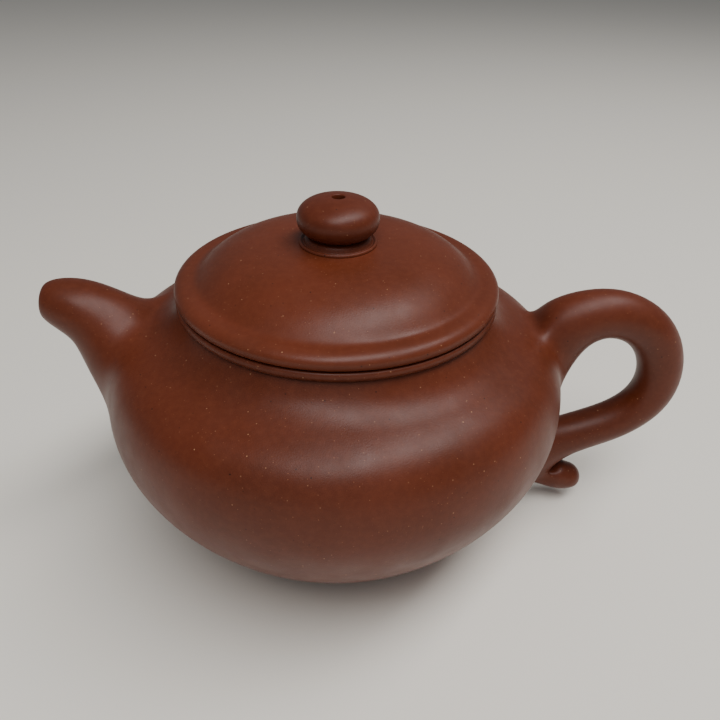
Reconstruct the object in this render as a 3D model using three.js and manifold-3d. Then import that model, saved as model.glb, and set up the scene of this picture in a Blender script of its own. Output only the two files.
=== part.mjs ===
// Small unglazed clay teapot, built from the pieces that the potter forms and lutes together.
// Millimetres, +Z up. The origin is on the pot's own axis, at the face it rests on.
// The handle points along +X and the spout along -X.

import * as THREE from 'three';
import { mergeVertices } from 'three/addons/utils/BufferGeometryUtils.js';
import Module from 'manifold-3d';

const wasm = await Module();
wasm.setup();

// Driving dimensions
const LID_R = 36; // outer edge of the lid
const BELLY_R = 1.5 * LID_R; // widest point of the pot
const BELLY_Z = 40; // height of the widest point
const FOOT_R = 29; // edge of the resting face
const NECK_R = 34.6; // outside of the recessed neck
const BORE_R = 30.9; // mouth that the lid's flange drops into
const WALL = 3; // wall of the pot and of the lid
const GAP = 0.3; // clearance left at curved joins and around the flange
const AIR_R = 1.3; // air hole through the knob and the lid

// Heights of the stacked rings, all measured from the resting face
const BASE_TOP = WALL;
const SHOULDER_SEAM = 50.5; // where the top disc is luted to the side wall
const NECK_Z = 62.6;
const MOUTH_Z = 64.3;
const MOUTH_TOP = 66.4;
const SEAT_Z = MOUTH_TOP + GAP; // underside of the closed lid
const LID_SEAM = 68.4; // lid disc above, edge ring below
const LID_EDGE_TOP = 69.9;
const LID_CROWN = 76.6;
const FLANGE_DEPTH = 6;
const FLANGE_WALL = 2.2;
const COLLAR_R = 8.3;
const COLLAR_H = 1.4;
const KNOB_R = 9;
const KNOB_HALF = 4.7;
const KNOB_ROUNDNESS = 2.3; // 2 would be a plain ellipse; more is a fuller bun

// Strainer behind the spout
const STRAINER_AT = [-48, 49.5]; // x and z of the ball's centre
const STRAINER_R = 9.6;
const STRAINER_WALL = 1.6;
const STRAINER_HOLE_R = 1;
const POUR_HOLE_R = 7;

// Centre lines with their radii: x, z, radius
const SPOUT_ENTRY = [-34, 37];
const SPOUT_PATH = [
  [...SPOUT_ENTRY, 15.5],
  [-46, 46.6, 13],
  [-53, 52.7, 10.8],
  [-58.6, 57.8, 8.2],
  [-63, 60.3, 6.4],
  [-65.6, 61, 5],
  [-67.2, 61.3, 4],
];
const SPOUT_BORE = [
  [...SPOUT_ENTRY, 8.6],
  [-46, 46.6, 7.8],
  [-53, 52.7, 6.4],
  [-58.6, 57.8, 4.8],
  [-63, 60.3, 3.4],
  [-65.6, 61, 2.8],
  [-71, 62.2, 2.5],
];
const HANDLE_PATH = [
  [38, 47, 9],
  [49, 52.8, 7.4],
  [57, 58.2, 6.3],
  [65, 59.5, 5.9],
  [73, 56.6, 5.8],
  [79, 50, 5.6],
  [81.3, 41, 5.5],
  [79.3, 33.4, 5.4],
  [74, 28, 5.2],
  [66, 24, 5],
  [56, 20.6, 5],
  [44, 18, 5.4],
];
const TAIL_PATH = [
  [46, 17.5, 4],
  [51, 11.5, 4],
  [56.5, 7.9, 3.8],
  [61, 6.9, 3.6],
  [64.4, 6.8, 3.3],
  [66.6, 7.3, 2.3],
  [67.6, 7.7, 0.9],
];

// Facets round the axis, round a limb, and round a hole
const TURN_SIDES = 40;
const LIMB_SIDES = 16;
const HOLE_SIDES = 6;
const TALL = 100; // half-size of a block that is larger than the pot

function clay(color, roughness = 0.55) {
  return new THREE.MeshStandardMaterial({ color, roughness, metalness: 0 });
}

// ---- solids ----

function toSolid(geometry) {
  geometry.deleteAttribute('normal');
  geometry.deleteAttribute('uv');
  const merged = mergeVertices(geometry, 1e-4);
  const vertProperties = Float32Array.from(merged.attributes.position.array);
  const triVerts = Uint32Array.from(merged.index.array);
  return new wasm.Manifold(new wasm.Mesh({ numProp: 3, vertProperties, triVerts }));
}

function toGeometry(solid) {
  const mesh = solid.getMesh();
  const geometry = new THREE.BufferGeometry();
  geometry.setAttribute('position', new THREE.BufferAttribute(mesh.vertProperties, 3));
  geometry.setIndex(new THREE.BufferAttribute(mesh.triVerts, 1));
  return geometry;
}

// A profile of [radius, height] points, turned about the pot's axis.
function turned(profile) {
  const points = profile.map(([r, z]) => new THREE.Vector2(r, z));
  return toSolid(new THREE.LatheGeometry(points, TURN_SIDES).rotateX(Math.PI / 2));
}

// A ring whose section closes on itself.
function turnedRing(section) {
  return turned([...section, section[0]]);
}

// The part of a solid between two heights.
function slab(solid, low, high) {
  const block = new THREE.BoxGeometry(2 * TALL, 2 * TALL, high - low);
  return solid.intersect(toSolid(block.translate(0, 0, (low + high) / 2)));
}

// A round limb in the XZ plane through [x, z, radius] stations, grown by extra all round.
function limb(stations, steps, extra = 0) {
  const route = stations.map(([x, z, r]) => new THREE.Vector3(x, r, z));
  const path = new THREE.CatmullRomCurve3(route);
  const tube = new THREE.CylinderGeometry(1, 1, 1, LIMB_SIDES, steps);
  const place = tube.attributes.position;
  for (let i = 0; i < place.count; i += 1) {
    const along = place.getY(i) + 0.5;
    const centre = path.getPoint(along);
    const tangent = path.getTangent(along).setY(0).normalize();
    const radius = centre.y + extra;
    const inPlane = place.getX(i) * radius;
    place.setXYZ(
      i,
      centre.x - tangent.z * inPlane,
      place.getZ(i) * radius,
      centre.z + tangent.x * inPlane,
    );
  }
  return toSolid(tube);
}

// A straight round bar between two points.
function bar(from, to, radius, sides) {
  const axis = new THREE.Vector3().subVectors(to, from);
  const geometry = new THREE.CylinderGeometry(radius, radius, axis.length(), sides);
  const turn = new THREE.Quaternion().setFromUnitVectors(new THREE.Vector3(0, 1, 0), axis.normalize());
  const middle = new THREE.Vector3().addVectors(from, to).multiplyScalar(0.5);
  return toSolid(geometry.applyQuaternion(turn).translate(middle.x, middle.y, middle.z));
}

// ---- pot profiles ----

function bezier(points, steps) {
  const curve = new THREE.CubicBezierCurve(...points.map(([r, z]) => new THREE.Vector2(r, z)));
  return curve.getPoints(steps).map((p) => [p.x, p.y]);
}

// The outside of the pot from foot to neck, moved inwards by inset.
function potProfile(inset) {
  const side = BELLY_R - inset;
  const foot = [FOOT_R - inset * 0.5, inset];
  const top = [NECK_R + GAP, NECK_Z - inset];
  const bowl = [FOOT_R + 11 - inset * 0.8, 12.5 + inset * 0.6];
  const lower = bezier([foot, bowl, [side, 26.5], [side, BELLY_Z]], 8);
  const rise = [43 - inset * 0.3, 57.9 - inset];
  const round = [50.3 - inset * 0.6, 55.2 - inset * 0.8];
  const shoulder = bezier([[side, BELLY_Z], [side, 50], round, rise], 5);
  const cove = [[40.3 - inset * 0.4, 58.9 - inset], [37.4 - inset * 0.4, 60.8 - inset]];
  const flare = bezier([rise, ...cove, top], 4);
  return [...lower, ...shoulder.slice(1), ...flare.slice(1)];
}

function potSolid(inset) {
  const profile = potProfile(inset);
  const foot = profile[0];
  const top = profile[profile.length - 1];
  return turned([[0, foot[1]], ...profile, [0, top[1]]]);
}

function mouthBore() {
  return turned([[0, BELLY_Z], [BORE_R, BELLY_Z], [BORE_R, TALL], [0, TALL]]);
}

const potOutside = potSolid(0);
const potClearance = potSolid(-GAP);
const potInside = potSolid(WALL);
const potShell = potOutside.subtract(potInside).subtract(mouthBore());

// ---- pot pieces ----

function pourHole() {
  const [x, z] = STRAINER_AT;
  const [farX, farZ] = SPOUT_PATH[3];
  return bar(new THREE.Vector3(x + 4, 0, z - 3), new THREE.Vector3(farX, 0, farZ), POUR_HOLE_R, LIMB_SIDES);
}

const baseDisc = slab(potOutside, 0, BASE_TOP);
const bellyWall = slab(potShell, BASE_TOP, SHOULDER_SEAM).subtract(pourHole());
const shoulderDisc = slab(potShell, SHOULDER_SEAM, NECK_Z).subtract(pourHole());

function neckRing() {
  return turnedRing([[BORE_R, NECK_Z], [NECK_R, NECK_Z], [NECK_R, MOUTH_Z], [BORE_R, MOUTH_Z]]);
}

function mouthRing() {
  const outer = LID_R - 0.2;
  const middle = (MOUTH_Z + MOUTH_TOP) / 2;
  return turnedRing([
    [BORE_R, MOUTH_Z],
    [outer - 0.9, MOUTH_Z],
    [outer - 0.2, MOUTH_Z + 0.4],
    [outer, middle],
    [outer - 0.2, MOUTH_TOP - 0.4],
    [outer - 0.8, MOUTH_TOP],
    [BORE_R, MOUTH_TOP],
  ]);
}

function spout() {
  return limb(SPOUT_PATH, 14).subtract(limb(SPOUT_BORE, 14)).subtract(potClearance);
}

// Directions of the strainer's holes: one on the axis, then rings of six and twelve.
function strainerHoleAxes() {
  const inward = new THREE.Vector3(0.8, 0, -0.6);
  const side = new THREE.Vector3(0, 1, 0);
  const axes = [inward.clone()];
  for (const [count, tilt] of [[6, 0.42], [12, 0.84]]) {
    for (let i = 0; i < count; i += 1) {
      const tipped = inward.clone().applyAxisAngle(side, tilt);
      axes.push(tipped.applyAxisAngle(inward, (2 * Math.PI * i) / count));
    }
  }
  return axes;
}

function strainer() {
  const centre = new THREE.Vector3(STRAINER_AT[0], 0, STRAINER_AT[1]);
  const ball = (r) => toSolid(new THREE.SphereGeometry(r, 20, 10).translate(centre.x, 0, centre.z));
  let shell = ball(STRAINER_R).subtract(ball(STRAINER_R - STRAINER_WALL));
  for (const axis of strainerHoleAxes()) {
    const from = centre.clone().addScaledVector(axis, STRAINER_R * 0.5);
    const to = centre.clone().addScaledVector(axis, STRAINER_R * 1.3);
    shell = shell.subtract(bar(from, to, STRAINER_HOLE_R, HOLE_SIDES));
  }
  return shell.intersect(potSolid(WALL + GAP));
}

function handle() {
  return limb(HANDLE_PATH, 34).subtract(potClearance);
}

function handleTailCurl() {
  return limb(TAIL_PATH, 14).subtract(potClearance).subtract(limb(HANDLE_PATH, 34, GAP));
}

// ---- lid pieces ----

// The lid disc: flat rim below, domed above with a soft groove inside its rounded edge.
function lidDisc() {
  const groove = [31.4, LID_EDGE_TOP - 0.2];
  const dome = bezier([groove, [28.5, 73.2], [22.5, LID_CROWN], [COLLAR_R + 0.4, LID_CROWN]], 8);
  const ceiling = LID_CROWN - WALL;
  const inside = bezier([[AIR_R, ceiling], [14, ceiling], [23, ceiling - 0.6], [27.6, LID_SEAM]], 7);
  return turnedRing([
    ...inside,
    [LID_R - 0.15, LID_SEAM],
    [LID_R - 0.6, LID_EDGE_TOP - 0.5],
    [LID_R - 2.2, LID_EDGE_TOP],
    ...dome,
    [AIR_R, LID_CROWN],
  ]);
}

function lidEdgeRing() {
  const inner = BORE_R - GAP;
  return turnedRing([
    [inner, SEAT_Z],
    [LID_R - 0.8, SEAT_Z],
    [LID_R - 0.2, SEAT_Z + 0.5],
    [LID_R, LID_SEAM - 0.6],
    [LID_R - 0.15, LID_SEAM],
    [inner, LID_SEAM],
  ]);
}

function lidFlange() {
  const outer = BORE_R - 2 * GAP;
  const inner = outer - FLANGE_WALL;
  const low = SEAT_Z - FLANGE_DEPTH;
  return turnedRing([
    [inner, low],
    [outer - 0.4, low],
    [outer, low + 0.6],
    [outer, LID_SEAM],
    [inner, LID_SEAM],
  ]);
}

function knobCollar() {
  const low = LID_CROWN;
  return turnedRing([
    [AIR_R, low],
    [COLLAR_R, low],
    [COLLAR_R, low + 0.3],
    [COLLAR_R - 0.5, low + 0.6],
    [COLLAR_R - 1, low + 0.45],
    [COLLAR_R - 1.6, low + COLLAR_H - 0.1],
    [COLLAR_R - 2.4, low + COLLAR_H],
    [AIR_R, low + COLLAR_H],
  ]);
}

function knob() {
  const foot = LID_CROWN + COLLAR_H;
  const middle = foot + KNOB_HALF * 0.9;
  const steps = 14;
  const power = 2 / KNOB_ROUNDNESS;
  const start = -Math.PI * 0.345;
  const end = Math.PI * 0.455;
  const bun = [];
  for (let i = 0; i <= steps; i += 1) {
    const angle = start + ((end - start) * i) / steps;
    const rise = Math.sign(angle) * Math.abs(Math.sin(angle)) ** power;
    bun.push([KNOB_R * Math.cos(angle) ** power, middle + KNOB_HALF * rise]);
  }
  const top = bun[bun.length - 1][1];
  return turnedRing([[AIR_R, foot], [bun[0][0], foot], ...bun.slice(1), [AIR_R, top]]);
}

// ---- assembly ----

const pieces = {
  base_disc: [baseDisc, '#6e3527'],
  belly_wall: [bellyWall, '#7a3d2b'],
  shoulder_disc: [shoulderDisc, '#7e402d'],
  neck_ring: [neckRing(), '#71382a'],
  mouth_ring: [mouthRing(), '#7b3f2e'],
  strainer: [strainer(), '#6e3527'],
  spout: [spout(), '#793c2a'],
  handle: [handle(), '#773b2a'],
  handle_tail_curl: [handleTailCurl(), '#743829'],
  lid_disc: [lidDisc(), '#7c3f2c'],
  lid_edge_ring: [lidEdgeRing(), '#793c2a'],
  lid_flange: [lidFlange(), '#73382a'],
  knob_collar: [knobCollar(), '#783c2b'],
  knob: [knob(), '#7a3d2b'],
};

const teapot = new THREE.Group();
for (const [name, [solid, color]] of Object.entries(pieces)) {
  const mesh = new THREE.Mesh(toGeometry(solid), clay(color));
  mesh.name = name;
  teapot.add(mesh);
}

export default teapot;
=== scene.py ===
import math

import bpy
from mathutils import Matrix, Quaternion, Vector
from mathutils.geometry import interpolate_bezier


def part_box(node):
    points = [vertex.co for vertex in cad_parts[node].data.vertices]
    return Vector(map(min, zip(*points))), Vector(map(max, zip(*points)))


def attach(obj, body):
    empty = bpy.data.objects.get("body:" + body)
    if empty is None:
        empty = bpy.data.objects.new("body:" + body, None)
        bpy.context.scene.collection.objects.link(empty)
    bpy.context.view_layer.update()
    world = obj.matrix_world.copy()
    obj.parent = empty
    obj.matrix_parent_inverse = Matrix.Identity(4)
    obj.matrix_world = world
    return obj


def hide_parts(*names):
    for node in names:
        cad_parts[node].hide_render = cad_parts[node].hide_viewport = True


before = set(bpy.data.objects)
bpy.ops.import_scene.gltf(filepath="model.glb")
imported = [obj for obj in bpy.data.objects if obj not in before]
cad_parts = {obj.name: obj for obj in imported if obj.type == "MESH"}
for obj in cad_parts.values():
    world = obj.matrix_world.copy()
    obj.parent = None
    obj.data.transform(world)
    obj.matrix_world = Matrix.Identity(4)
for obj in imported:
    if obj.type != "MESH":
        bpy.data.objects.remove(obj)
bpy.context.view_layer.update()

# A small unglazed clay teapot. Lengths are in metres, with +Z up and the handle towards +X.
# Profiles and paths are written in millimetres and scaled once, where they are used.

MM = 0.001


def side(node, end, axis):
    """Where a CAD node ends along an axis, in millimetres: end 0 is its low side and 1 its high."""
    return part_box(node)[end]["XYZ".index(axis)] / MM


# ---- sizes taken from the frame, in millimetres ----

LID_R = side("lid_edge_ring", 1, "X")
BELLY_R = side("belly_wall", 1, "X")
BELLY_Z = 40.0
FOOT_R = 29.0
RIM_WIDTH = 5.1
BORE_R = LID_R - RIM_WIDTH
NECK_TOP = side("neck_ring", 1, "Z")
MOUTH_TOP = side("mouth_ring", 1, "Z")
SEAT_Z = side("lid_edge_ring", 0, "Z")
LID_EDGE_Z = side("lid_edge_ring", 1, "Z") + 1.5
LID_CROWN = side("knob_collar", 0, "Z")
FLANGE_LOW = side("lid_flange", 0, "Z")
KNOB_R = side("knob", 1, "X")
KNOB_TOP = side("knob", 1, "Z")
AIR_R = 1.35
WALL = 3.0

AXIS_R = 0.01  # a ring this small stands for a point on the axis and is merged into one
SKIN_COLUMNS = 48
COLUMN = 2 * math.pi / SKIN_COLUMNS
RING_SIDES = 64
SUBSURF_LEVELS = 2


# ---- modelling helpers ----

def tidy_mesh():
    """Merges doubled points and turns all faces outwards, in edit mode."""
    bpy.ops.mesh.select_mode(type="VERT")
    bpy.ops.mesh.select_all(action="SELECT")
    bpy.ops.mesh.remove_doubles(threshold=3 * AXIS_R * MM)
    bpy.ops.mesh.normals_make_consistent(inside=False)


def turned(name, profile, columns):
    """Draws a ring up and out, step by step, along a profile of (radius, height)."""
    radius, height = profile[0]
    bpy.ops.object.select_all(action="DESELECT")
    bpy.ops.mesh.primitive_circle_add(vertices=columns, radius=radius * MM, location=(0, 0, height * MM))
    piece = bpy.context.object
    piece.name = name
    bpy.ops.object.mode_set(mode="EDIT")
    bpy.ops.mesh.select_mode(type="VERT")
    bpy.ops.mesh.select_all(action="SELECT")
    for (r0, z0), (r1, z1) in zip(profile, profile[1:]):
        bpy.ops.mesh.extrude_region_move(TRANSFORM_OT_translate={"value": (0, 0, (z1 - z0) * MM)})
        grow = r1 / r0
        bpy.ops.transform.resize(value=(grow, grow, 1), center_override=(0, 0, z1 * MM))
    tidy_mesh()
    return piece


def turned_ring(name, section):
    """A turned piece whose section closes on itself."""
    return turned(name, [*section, section[0]], RING_SIDES)


def pick_faces(piece, wanted):
    """Selects the faces that pass a test, and nothing else."""
    bpy.ops.mesh.select_mode(type="FACE")
    bpy.ops.mesh.select_all(action="DESELECT")
    bpy.ops.object.mode_set(mode="OBJECT")
    for face in piece.data.polygons:
        face.select = wanted(face)
    bpy.ops.object.mode_set(mode="EDIT")


def open_hole(piece, wanted, border=0):
    """Cuts away the faces that pass a test, leaving a border of this many millimetres."""
    pick_faces(piece, wanted)
    if border:
        bpy.ops.mesh.inset(thickness=border * MM)
    bpy.ops.mesh.delete(type="FACE")


def spots(piece, wanted):
    """The middles of the faces that pass a test, by which they are found again later."""
    bpy.ops.object.mode_set(mode="OBJECT")
    found = [face.center.copy() for face in piece.data.polygons if wanted(face)]
    bpy.ops.object.mode_set(mode="EDIT")
    return found


def at_spots(found):
    """A test for the faces whose middles were noted."""
    return lambda face: any((face.center - spot).length < AXIS_R * MM for spot in found)


def join_open_edges():
    """Bridges the two open edges that the mesh has at this moment."""
    bpy.ops.mesh.select_mode(type="EDGE")
    bpy.ops.mesh.select_all(action="DESELECT")
    bpy.ops.mesh.select_non_manifold(
        extend=False, use_wire=True, use_boundary=True,
        use_multi_face=False, use_non_contiguous=False, use_verts=False,
    )
    bpy.ops.mesh.bridge_edge_loops()


def lead_through(path, sides):
    """Carries the open edge of the clay through rings of (x, z, radius, width ratio, tilt in degrees).

    A ring without a tilt stands square to the path.
    """
    for i, (x, z, radius, width, *own_tilt) in enumerate(path):
        before = path[max(i - 1, 0)]
        after = path[min(i + 1, len(path) - 1)]
        tilt = math.atan2(after[0] - before[0], after[1] - before[1])
        if own_tilt:
            tilt = math.radians(own_tilt[0])
        centre = (x * MM, 0, z * MM)
        bpy.ops.mesh.primitive_circle_add(
            vertices=sides, radius=radius * MM, location=centre, rotation=(0, tilt, 0)
        )
        bpy.ops.transform.resize(value=(1, width, 1), center_override=centre)
        join_open_edges()


def close_end():
    """Draws the open edge together into one point."""
    bpy.ops.mesh.select_mode(type="EDGE")
    bpy.ops.mesh.select_all(action="DESELECT")
    bpy.ops.mesh.select_non_manifold(
        extend=False, use_wire=False, use_boundary=True,
        use_multi_face=False, use_non_contiguous=False, use_verts=False,
    )
    bpy.ops.mesh.merge(type="CENTER")


def apply_modifier(piece, kind, **settings):
    """Adds a modifier with these settings to the active piece and applies it."""
    modifier = piece.modifiers.new(kind.title(), kind)
    for key, value in settings.items():
        setattr(modifier, key, value)
    bpy.ops.object.modifier_apply(modifier=modifier.name)


def finish_piece(piece, material, body, nodes):
    """Rounds a piece off, puts its place into its mesh, gives it its clay and body, and hides the imported
    parts it stands for.
    """
    if bpy.context.mode != "OBJECT":
        tidy_mesh()
        bpy.ops.object.mode_set(mode="OBJECT")
    bpy.ops.object.select_all(action="DESELECT")
    piece.select_set(True)
    bpy.context.view_layer.objects.active = piece
    bpy.ops.object.transform_apply(location=True, rotation=True, scale=True)
    apply_modifier(piece, "SUBSURF", levels=SUBSURF_LEVELS, render_levels=SUBSURF_LEVELS)
    bpy.ops.object.shade_smooth()
    piece.data.materials.clear()
    piece.data.materials.append(material)
    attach(piece, body)
    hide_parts(*nodes)


def curve_points(points, steps):
    """Points of (radius, height) along a Bezier curve, without its first one."""
    ends = [Vector((r, z, 0)) for r, z in points]
    return [(p.x, p.y) for p in interpolate_bezier(*ends, steps + 1)[1:]]


# ---- clay ----

def linear(hex_colour):
    """An sRGB hex colour as linear RGBA."""
    parts = [int(hex_colour[i:i + 2], 16) / 255 for i in (1, 3, 5)]
    return (*[p / 12.92 if p <= 0.04045 else ((p + 0.055) / 1.055) ** 2.4 for p in parts], 1)


def add(tree, kind, links=(), **settings):
    """Adds a node: settings name its properties or, after an underscore, its inputs by number."""
    node = tree.nodes.new(kind)
    for key, value in settings.items():
        if key.startswith("in_"):
            node.inputs[int(key[3:])].default_value = value
        else:
            setattr(node, key, value)
    for source, target in links:
        tree.links.new(source, node.inputs[target])
    return node


def shift(tree, place, amount):
    """The same coordinates, moved, so that two patterns don't fall on each other."""
    moved = add(tree, "ShaderNodeVectorMath", [(place, 0)], operation="ADD", in_1=amount)
    return moved.outputs[0]


def grains(tree, place, spacing, size, rarity):
    """Where mineral grains show: their mean spacing and size in millimetres, and the share left out."""
    cells = add(tree, "ShaderNodeTexVoronoi", [(place, "Vector")])
    cells.inputs["Scale"].default_value = 1 / (spacing * MM)
    reach = size / (2 * spacing)
    near = add(
        tree, "ShaderNodeMapRange", [(cells.outputs["Distance"], 0)],
        in_1=reach * 1.25, in_2=reach * 0.6,
    )
    luck = add(tree, "ShaderNodeSeparateColor", [(cells.outputs["Color"], 0)])
    kept = add(tree, "ShaderNodeMapRange", [(luck.outputs[0], 0)], in_1=rarity, in_2=1.0)
    both = add(tree, "ShaderNodeMath", [(near.outputs[0], 0), (kept.outputs[0], 1)], operation="MULTIPLY")
    return both.outputs[0]


def blend(tree, below, above, factor):
    """One colour laid over another, as much as the factor says. A colour is a socket or a hex."""
    mix = add(tree, "ShaderNodeMix", data_type="RGBA")
    for slot, value in ((6, below), (7, above), (0, factor)):
        if isinstance(value, str):
            mix.inputs[slot].default_value = linear(value)
        else:
            tree.links.new(value, mix.inputs[slot])
    return mix.outputs[2]


def noise(tree, place, feature, detail):
    """Soft noise whose features are this many millimetres across."""
    return add(
        tree, "ShaderNodeTexNoise", [(place, "Vector")], in_2=1 / (feature * MM), in_3=detail, in_4=0.55
    ).outputs[0]


BURNISHED_ROUGHNESS = (0.34, 0.46)
TOOL_MARK_DEPTH = 0.05
GRAIN_DEPTH = 0.045


def zisha_clay(name, tone, shade, seed):
    """Zisha stoneware: unglazed iron-rich clay, beaten and burnished by hand before firing.

    Burnishing lays the clay platelets flat, so the surface has a soft satin sheen, a little uneven
    from the tool, over a finely granular body. Tan and dark mineral grains of 0.2 to 0.3 mm show
    through, and the iron colour drifts from red-brown to a darker brown over a few centimetres.
    """
    material = bpy.data.materials.new(name)
    material.use_nodes = True
    tree = material.node_tree
    tree.nodes.clear()
    place = shift(tree, add(tree, "ShaderNodeTexCoord").outputs["Object"], (seed, 2 * seed, 3 * seed))

    drift = noise(tree, place, 24.0, 3.0)
    spread = add(tree, "ShaderNodeMapRange", [(drift, 0)], in_1=0.36, in_2=0.64).outputs[0]
    colour = blend(tree, shade, tone, spread)
    mottle = add(
        tree, "ShaderNodeMapRange", [(noise(tree, place, 1.3, 4.0), 0)],
        in_1=0.4, in_2=0.75, in_4=0.2,
    )
    colour = blend(tree, colour, "#7a3f27", mottle.outputs[0])
    tan = grains(tree, place, 2.0, 0.27, 0.2)
    fine = grains(tree, shift(tree, place, (0.31, 0.17, 0.23)), 0.9, 0.17, 0.3)
    dark = grains(tree, shift(tree, place, (0.53, 0.41, 0.37)), 2.4, 0.32, 0.25)
    colour = blend(tree, colour, "#955f42", fine)
    colour = blend(tree, colour, "#ab7c5a", tan)
    colour = blend(tree, colour, "#1d0b07", dark)

    burnish = add(
        tree, "ShaderNodeMapRange", [(noise(tree, place, 7.0, 3.0), 0)],
        in_1=0.3, in_2=0.7, in_3=BURNISHED_ROUGHNESS[0], in_4=BURNISHED_ROUGHNESS[1],
    )

    tool_marks = add(tree, "ShaderNodeBump", [(noise(tree, place, 16.0, 1.0), "Height")])
    tool_marks.inputs["Strength"].default_value = 1.0
    tool_marks.inputs["Distance"].default_value = TOOL_MARK_DEPTH * MM
    grain = add(
        tree, "ShaderNodeBump",
        [(noise(tree, place, 0.35, 3.0), "Height"), (tool_marks.outputs[0], "Normal")],
    )
    grain.inputs["Strength"].default_value = 0.5
    grain.inputs["Distance"].default_value = GRAIN_DEPTH * MM

    shader = add(tree, "ShaderNodeBsdfPrincipled", [
        (colour, "Base Color"), (burnish.outputs[0], "Roughness"), (grain.outputs[0], "Normal"),
    ])
    shader.inputs["IOR"].default_value = 1.45
    shader.inputs["Specular IOR Level"].default_value = 0.32
    add(tree, "ShaderNodeOutputMaterial", [(shader.outputs[0], "Surface")])
    return material


BODY_CLAY = zisha_clay("zisha_stoneware_burnished_body", "#5f2a18", "#562615", 0.0)
# The lid's tones are painted a little lighter than the body's as painted light, standing in for the extra
# light its up-facing dome catches; the lid is the same clay as the body.
LID_CLAY_PAINTED_LIGHTER = zisha_clay("zisha_stoneware_burnished_lid_painted_lighter", "#642d1a", "#5b2917", 0.19)
KNOB_CLAY = zisha_clay("zisha_stoneware_burnished_knob", "#5d2816", "#552414", 0.43)
INNER_CLAY = zisha_clay("zisha_stoneware_unburnished_strainer", "#572516", "#4a1e10", 0.67)


# ---- pot ----

def pot_profile():
    """From under the base up the outside, over the neck and back down the inside."""
    foot = [(AXIS_R, 0.8), (12, 0.8), (21, 0.8), (25.5, 0.5), (27.4, -0.2), (FOOT_R, 0.5)]
    lower = curve_points([(FOOT_R, 0.5), (40, 12.5), (BELLY_R - 0.2, 26.5), (BELLY_R, BELLY_Z)], 8)
    upper = curve_points([(BELLY_R, BELLY_Z), (BELLY_R, 50), (50.9, 55.4), (43.5, 57.3)], 5)
    flare = curve_points([(43.5, 57.3), (41, 57.9), (36.9, 59.6), (35.4, 63.4)], 5)
    neck = [(35, NECK_TOP - 0.1), (34.4, NECK_TOP)]
    rim = [(32, NECK_TOP), (BORE_R + 0.1, NECK_TOP - 0.3), (BORE_R + 0.1, 61), (32.2, 59.4)]
    inside = [
        (35.2, 57.9), (38.6, 55.7), (42.6, 54), (46.4, 52), (49.2, 49), (50.8, 45), (51, 40), (50.2, 34.5),
        (48.1, 29.2), (45, 23.9), (41, 18.4), (36.6, 13.2), (31.8, 8.2), (27.5, 4.6),
        (20, WALL), (10, WALL), (AXIS_R, WALL),
    ]
    return [*foot, *lower, *upper, *flare, *neck, *rim, *inside]


# Rings of (x, z, radius in the plane, width ratio), with a tilt in degrees where a ring isn't
# square to its path. The spout's go out to the lip and back in through its channel.
SPOUT_RINGS = [
    (-52.1, 52.2, 10.5, 1.05, -46),
    (-55.1, 56.9, 8.3, 1.0),
    (-58.8, 59.4, 7.3, 1.0),
    (-62.4, 60.7, 6.3, 1.0),
    (-64.9, 61.2, 5.3, 1.0),
    (-66.3, 61.35, 4.4, 1.0, -84),
    (-66.9, 61.4, 3.6, 1.0, -84),
    (-66.4, 61.35, 2.8, 1.0, -84),
    (-65.1, 61.2, 2.6, 1.0),
    (-62.5, 60.2, 3.2, 1.0),
    (-58.4, 57.8, 4.6, 1.0),
    (-54.2, 54.6, 6.0, 1.0),
]
HANDLE_RINGS = [
    (53.6, 55, 8.4, 0.84),
    (58.6, 58.6, 6.9, 0.92),
    (64.6, 59.7, 6.3, 0.97),
    (70.4, 58.2, 6.0, 1.0),
    (75.6, 54.7, 5.9, 1.0),
    (79.4, 49.2, 5.8, 1.0),
    (81.3, 42.6, 5.7, 1.0),
    (80.7, 36.0, 5.6, 1.0),
    (77.4, 30.8, 5.4, 1.0),
    (72.4, 27.0, 5.4, 1.0),
    (66.9, 24.5, 5.4, 1.0),
    (61.4, 22.1, 5.7, 0.95),
    (56.8, 19.4, 7.0, 0.76),
    (53.4, 16.8, 9.0, 0.6),
    (50.2, 15.2, 10.6, 0.52),
]
TAIL_RINGS = [
    (60.4, 8.2, 5.0, 0.9),
    (63.6, 7.2, 4.5, 0.95),
    (66.6, 7.3, 4.0, 1.0),
    (68.9, 8.3, 3.0, 1.0),
]


def patch(middle_angle, half_columns, low, high, outwards=True):
    """A test for the faces of a patch of the wall, on its outside or its inside."""
    def wanted(face):
        across = Vector((face.center.x, face.center.y))
        turn = math.atan2(across.y, across.x) - middle_angle
        off_middle = abs(math.atan2(math.sin(turn), math.cos(turn)))
        height = (face.center.z + HOME_Z) / MM
        faces_out = face.normal.xy.dot(across) > 0
        in_patch = off_middle < half_columns * COLUMN and low < height < high
        return in_patch and faces_out == outwards
    return wanted


def tail_root(face):
    """The underside of the handle's lower root, where the tail leaves it."""
    x, y, z = face.center.x / MM, abs(face.center.y) / MM, (face.center.z + HOME_Z) / MM
    return 53 < x < 61.5 and 4 < z < 15 and y < 3 and face.normal.z < -0.6


# Until it is finished the skin's origin is at the first ring of its profile, this far up
HOME_Z = pot_profile()[0][1] * MM
skin = turned("pot_skin", pot_profile(), SKIN_COLUMNS)

pour_hole = spots(skin, patch(math.pi, 2, 36, 54.5, outwards=False))
open_hole(skin, patch(math.pi, 2, 41, 57))
lead_through(SPOUT_RINGS, 18)
open_hole(skin, at_spots(pour_hole), border=5)
join_open_edges()

handle_foot = spots(skin, patch(0, 1, 8.5, 30))
open_hole(skin, patch(0, 1, 41, 55.8))
lead_through(HANDLE_RINGS, 12)
open_hole(skin, at_spots(handle_foot))
join_open_edges()

tidy_mesh()
open_hole(skin, tail_root)
lead_through(TAIL_RINGS, 8)
close_end()
finish_piece(
    skin, BODY_CLAY, "pot",
    ["base_disc", "belly_wall", "shoulder_disc", "neck_ring", "spout", "handle", "handle_tail_curl"],
)

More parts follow.
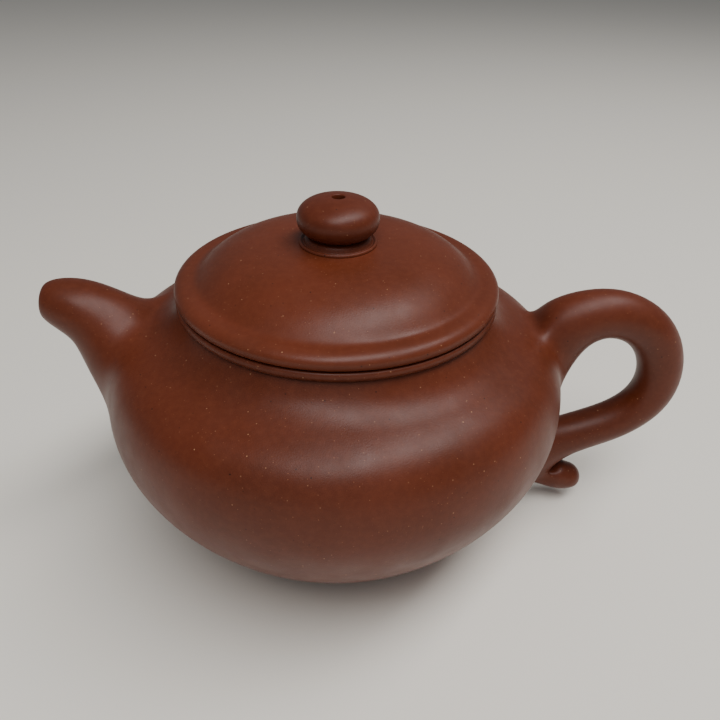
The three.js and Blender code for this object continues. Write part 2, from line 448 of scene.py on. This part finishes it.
STRAINER_AT = Vector((-46.5, 0, 47.5)) * MM
STRAINER_R = 8.6
STRAINER_WALL = 1.6
STRAINER_RIM = 2.8  # how far its rim is behind its middle
INWARD = Vector((0.8, 0, -0.6))
UPWARD = Vector((0.6, 0, 0.8))  # square to INWARD
STRAINER_SECTORS = 12


def strainer_angles(face):
    """How far a face of the strainer is from its crown, in degrees, and its sector round it."""
    out = (face.center - STRAINER_AT).normalized()
    across = out - INWARD * out.dot(INWARD)
    turn = math.atan2(across.y, across.dot(UPWARD)) % (2 * math.pi)
    return math.degrees(out.angle(INWARD)), int(turn / (2 * math.pi) * STRAINER_SECTORS)


def pierce(piece, wanted, border):
    """Opens a hole in each face that passes a test, leaving a border of this many millimetres."""
    pick_faces(piece, wanted)
    bpy.ops.mesh.inset(thickness=border * MM, use_individual=True)
    bpy.ops.mesh.delete(type="FACE")


def add_strainer():
    """A small dome of clay with 19 holes, pressed over the pour hole from inside."""
    bpy.ops.object.select_all(action="DESELECT")
    bpy.ops.mesh.primitive_uv_sphere_add(
        segments=STRAINER_SECTORS, ring_count=9, radius=STRAINER_R * MM, location=STRAINER_AT,
        rotation=(0, math.atan2(INWARD.x, INWARD.z), 0),
    )
    piece = bpy.context.object
    piece.name = "strainer_dome"
    bpy.ops.object.transform_apply(location=True, rotation=True, scale=True)
    bpy.ops.object.mode_set(mode="EDIT")
    bpy.ops.mesh.select_all(action="SELECT")
    rim_at = STRAINER_AT - INWARD * STRAINER_RIM * MM
    bpy.ops.mesh.bisect(plane_co=rim_at, plane_no=INWARD, clear_inner=True)
    pick_faces(piece, lambda face: strainer_angles(face)[0] < 19)
    bpy.ops.mesh.dissolve_faces()
    bpy.ops.mesh.inset(thickness=2 * MM)
    bpy.ops.mesh.delete(type="FACE")

    def inner_row(face):
        from_crown, sector = strainer_angles(face)
        return 22 < from_crown < 36 and sector % 2 == 0

    pierce(piece, inner_row, 0.5)
    pierce(piece, lambda face: 42 < strainer_angles(face)[0] < 58, 0.7)
    tidy_mesh()
    bpy.ops.object.mode_set(mode="OBJECT")
    apply_modifier(piece, "SOLIDIFY", thickness=STRAINER_WALL * MM, offset=-1)
    finish_piece(piece, INNER_CLAY, "pot", ["strainer"])


add_strainer()

mouth = turned_ring("mouth_ring_turned", [
    (BORE_R, NECK_TOP + 0.3), (BORE_R + 0.5, NECK_TOP), (33.4, NECK_TOP), (LID_R - 0.8, NECK_TOP),
    (LID_R - 0.15, NECK_TOP + 0.3), (LID_R, NECK_TOP + 1), (LID_R - 0.15, MOUTH_TOP - 0.25),
    (LID_R - 0.6, MOUTH_TOP), (33.4, MOUTH_TOP), (BORE_R + 0.4, MOUTH_TOP), (BORE_R, MOUTH_TOP - 0.4),
])
finish_piece(mouth, BODY_CLAY, "pot", ["mouth_ring"])


# ---- lid ----

lid = turned_ring("lid_cover", [
    (AIR_R, LID_CROWN), (5, LID_CROWN), (9.5, LID_CROWN), (14.4, LID_CROWN - 0.05),
    (18.8, LID_CROWN - 0.4), (22.6, LID_CROWN - 1.2), (25.8, LID_CROWN - 2.5), (28.4, LID_CROWN - 4.2),
    (30.2, LID_CROWN - 5.85), (31.5, LID_EDGE_Z - 0.15), (32.9, LID_EDGE_Z),
    (34.2, LID_EDGE_Z - 0.05), (35.3, LID_EDGE_Z - 0.55), (LID_R, LID_EDGE_Z - 1.4),
    (LID_R, SEAT_Z + 1), (LID_R - 0.1, SEAT_Z + 0.3), (LID_R - 0.5, SEAT_Z),
    (34, SEAT_Z), (30.9, SEAT_Z), (30.6, SEAT_Z + 0.3), (30.4, SEAT_Z + 1.7), (28.2, SEAT_Z + 2.0),
    (25.5, LID_CROWN - 6), (20, LID_CROWN - 4), (13, LID_CROWN - 3.2), (6, LID_CROWN - WALL),
    (AIR_R, LID_CROWN - WALL),
])
finish_piece(lid, LID_CLAY_PAINTED_LIGHTER, "lid", ["lid_disc", "lid_edge_ring"])

flange = turned_ring("lid_flange_turned", [
    (28.1, FLANGE_LOW + 0.4), (28.6, FLANGE_LOW), (29.7, FLANGE_LOW), (30.25, FLANGE_LOW + 0.5),
    (30.3, FLANGE_LOW + 2), (30.3, SEAT_Z + 1), (30.3, SEAT_Z + 1.7), (28.1, SEAT_Z + 1.9),
    (28.1, FLANGE_LOW + 2),
])
finish_piece(flange, LID_CLAY_PAINTED_LIGHTER, "lid", ["lid_flange"])

collar = turned_ring("knob_collar_turned", [
    (AIR_R, LID_CROWN - 0.4), (8.3, LID_CROWN - 0.4), (8.65, LID_CROWN + 0.1), (8.5, LID_CROWN + 0.6),
    (8.1, LID_CROWN + 0.75), (7.8, LID_CROWN + 0.35), (7.5, LID_CROWN + 0.4), (7.3, LID_CROWN + 1.1),
    (7, LID_CROWN + 1.6), (6.4, LID_CROWN + 1.85), (4, LID_CROWN + 1.85), (AIR_R, LID_CROWN + 1.85),
])
finish_piece(collar, LID_CLAY_PAINTED_LIGHTER, "lid", ["knob_collar"])


def knob_profile():
    """A flattened bun with a fuller curve than an ellipse, round the air hole."""
    foot = LID_CROWN + 1.5
    half = 4.7
    middle = KNOB_TOP - half
    power = 2 / 2.3  # an ellipse has 1
    steps = 13
    start, end = math.radians(-50), math.radians(80)
    bun = []
    for i in range(steps + 1):
        angle = start + (end - start) * i / steps
        rise = math.copysign(abs(math.sin(angle)) ** power, angle)
        bun.append((KNOB_R * math.cos(angle) ** power, middle + half * rise))
    top = bun[-1][1]
    return [(AIR_R, foot), (5.7, foot), *bun, (AIR_R + 0.1, top), (AIR_R, top - 0.4), (AIR_R, middle)]


knob = turned_ring("knob_turned", knob_profile())
finish_piece(knob, KNOB_CLAY, "lid", ["knob"])


# ---- setting ----

def studio_board():
    """Matt painted board, pale and a little warm, for the floor."""
    material = bpy.data.materials.new("matt_studio_board")
    material.use_nodes = True
    shader = material.node_tree.nodes["Principled BSDF"]
    shader.inputs["Base Color"].default_value = linear("#f1ebe0")
    shader.inputs["Roughness"].default_value = 0.6
    return material


def add_floor():
    """A floor level with the face that the pot rests on."""
    bpy.ops.object.select_all(action="DESELECT")
    bpy.ops.mesh.primitive_plane_add(size=6, location=(0, 0, 0))
    floor = bpy.context.object
    floor.name = "studio_floor"
    floor.data.materials.append(studio_board())


def add_light(name, place, size, power, sheen=1.0):
    """A rectangular soft light aimed at the belly: sheen is its share in reflections."""
    data = bpy.data.lights.new(name, "AREA")
    data.shape = "RECTANGLE"
    data.size, data.size_y = size
    data.energy = power
    data.specular_factor = sheen
    lamp = bpy.data.objects.new(name, data)
    lamp.location = place
    aim = Vector((0, 0, BELLY_Z * MM)) - Vector(place)
    lamp.rotation_euler = aim.to_track_quat("-Z", "Y").to_euler()
    bpy.context.scene.collection.objects.link(lamp)


def add_camera():
    """A hand-held view: wide lens, close, looking down, turned and rolled a little."""
    place = Vector((0, -0.1324, 0.1343))
    pan, tilt, roll = 0.042, 0.590, 0.030
    ahead = Vector((math.sin(pan) * math.cos(tilt), math.cos(pan) * math.cos(tilt), -math.sin(tilt)))
    data = bpy.data.cameras.new("camera")
    data.lens = 32.5
    data.clip_start = 0.01
    camera = bpy.data.objects.new("camera", data)
    camera.location = place
    camera.rotation_euler = (ahead.to_track_quat("-Z", "Y") @ Quaternion((0, 0, 1), roll)).to_euler()
    bpy.context.scene.collection.objects.link(camera)
    bpy.context.scene.camera = camera


def add_world():
    """Weak light from all sides, a little cool."""
    world = bpy.data.worlds.new("soft_room")
    world.use_nodes = True
    background = world.node_tree.nodes["Background"]
    background.inputs["Color"].default_value = linear("#cfd2d6")
    background.inputs["Strength"].default_value = 0.27
    bpy.context.scene.world = world


add_floor()
add_light("overhead_softbox", (0.2, -0.19, 0.86), (1.2, 0.34), 10)
add_light("front_fill", (-0.05, -0.75, 0.28), (0.9, 0.5), 0.3, sheen=0.15)
add_world()
add_camera()
